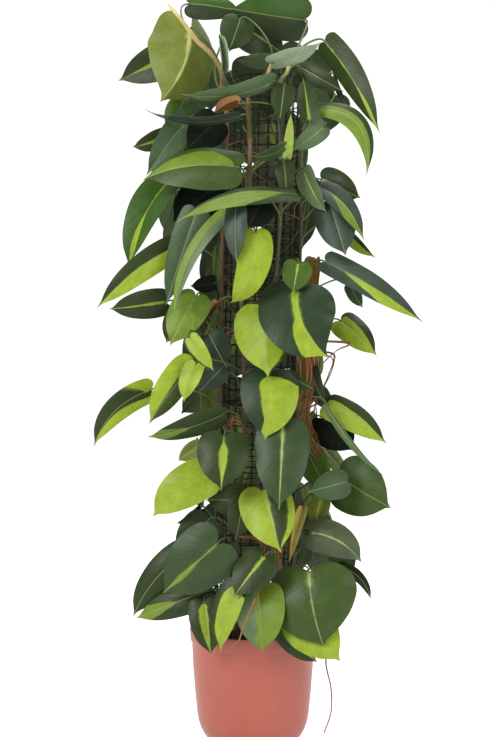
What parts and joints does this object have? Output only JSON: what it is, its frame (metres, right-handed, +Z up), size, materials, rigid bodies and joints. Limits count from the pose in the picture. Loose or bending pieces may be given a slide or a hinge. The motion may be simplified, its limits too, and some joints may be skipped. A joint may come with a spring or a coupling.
{
  "type": "potted climbing plant",
  "caption": "Tall climbing houseplant with heart-shaped green and lime leaves on a mesh column, standing in a round terracotta-coloured plastic pot.",
  "frame": {"origin": "centre of the pot's flat foot, on the floor", "axes": "+Z up along the pot's axis, -Y towards the front of the plant, +X to the viewer's right"},
  "size_m": [0.6053, 0.4572, 1.4137],
  "materials": {
    "terracotta_plastic": "satin moulded plastic",
    "potting_soil": "loose dark potting soil",
    "black_mesh": "black plastic mesh",
    "leaf_green": "satin green leaves with lime markings"
  },
  "bodies": {
    "root": {"pot": "terracotta_plastic", "soil": "potting_soil", "climbing_column": "black_mesh", "vine_front_left": "leaf_green", "vine_front_right": "leaf_green", "vine_right_front": "leaf_green", "vine_right_back": "leaf_green", "vine_back_right": "leaf_green", "vine_back_left": "leaf_green", "vine_left_back": "leaf_green", "vine_left_front": "leaf_green"}
  },
  "joints": []
}
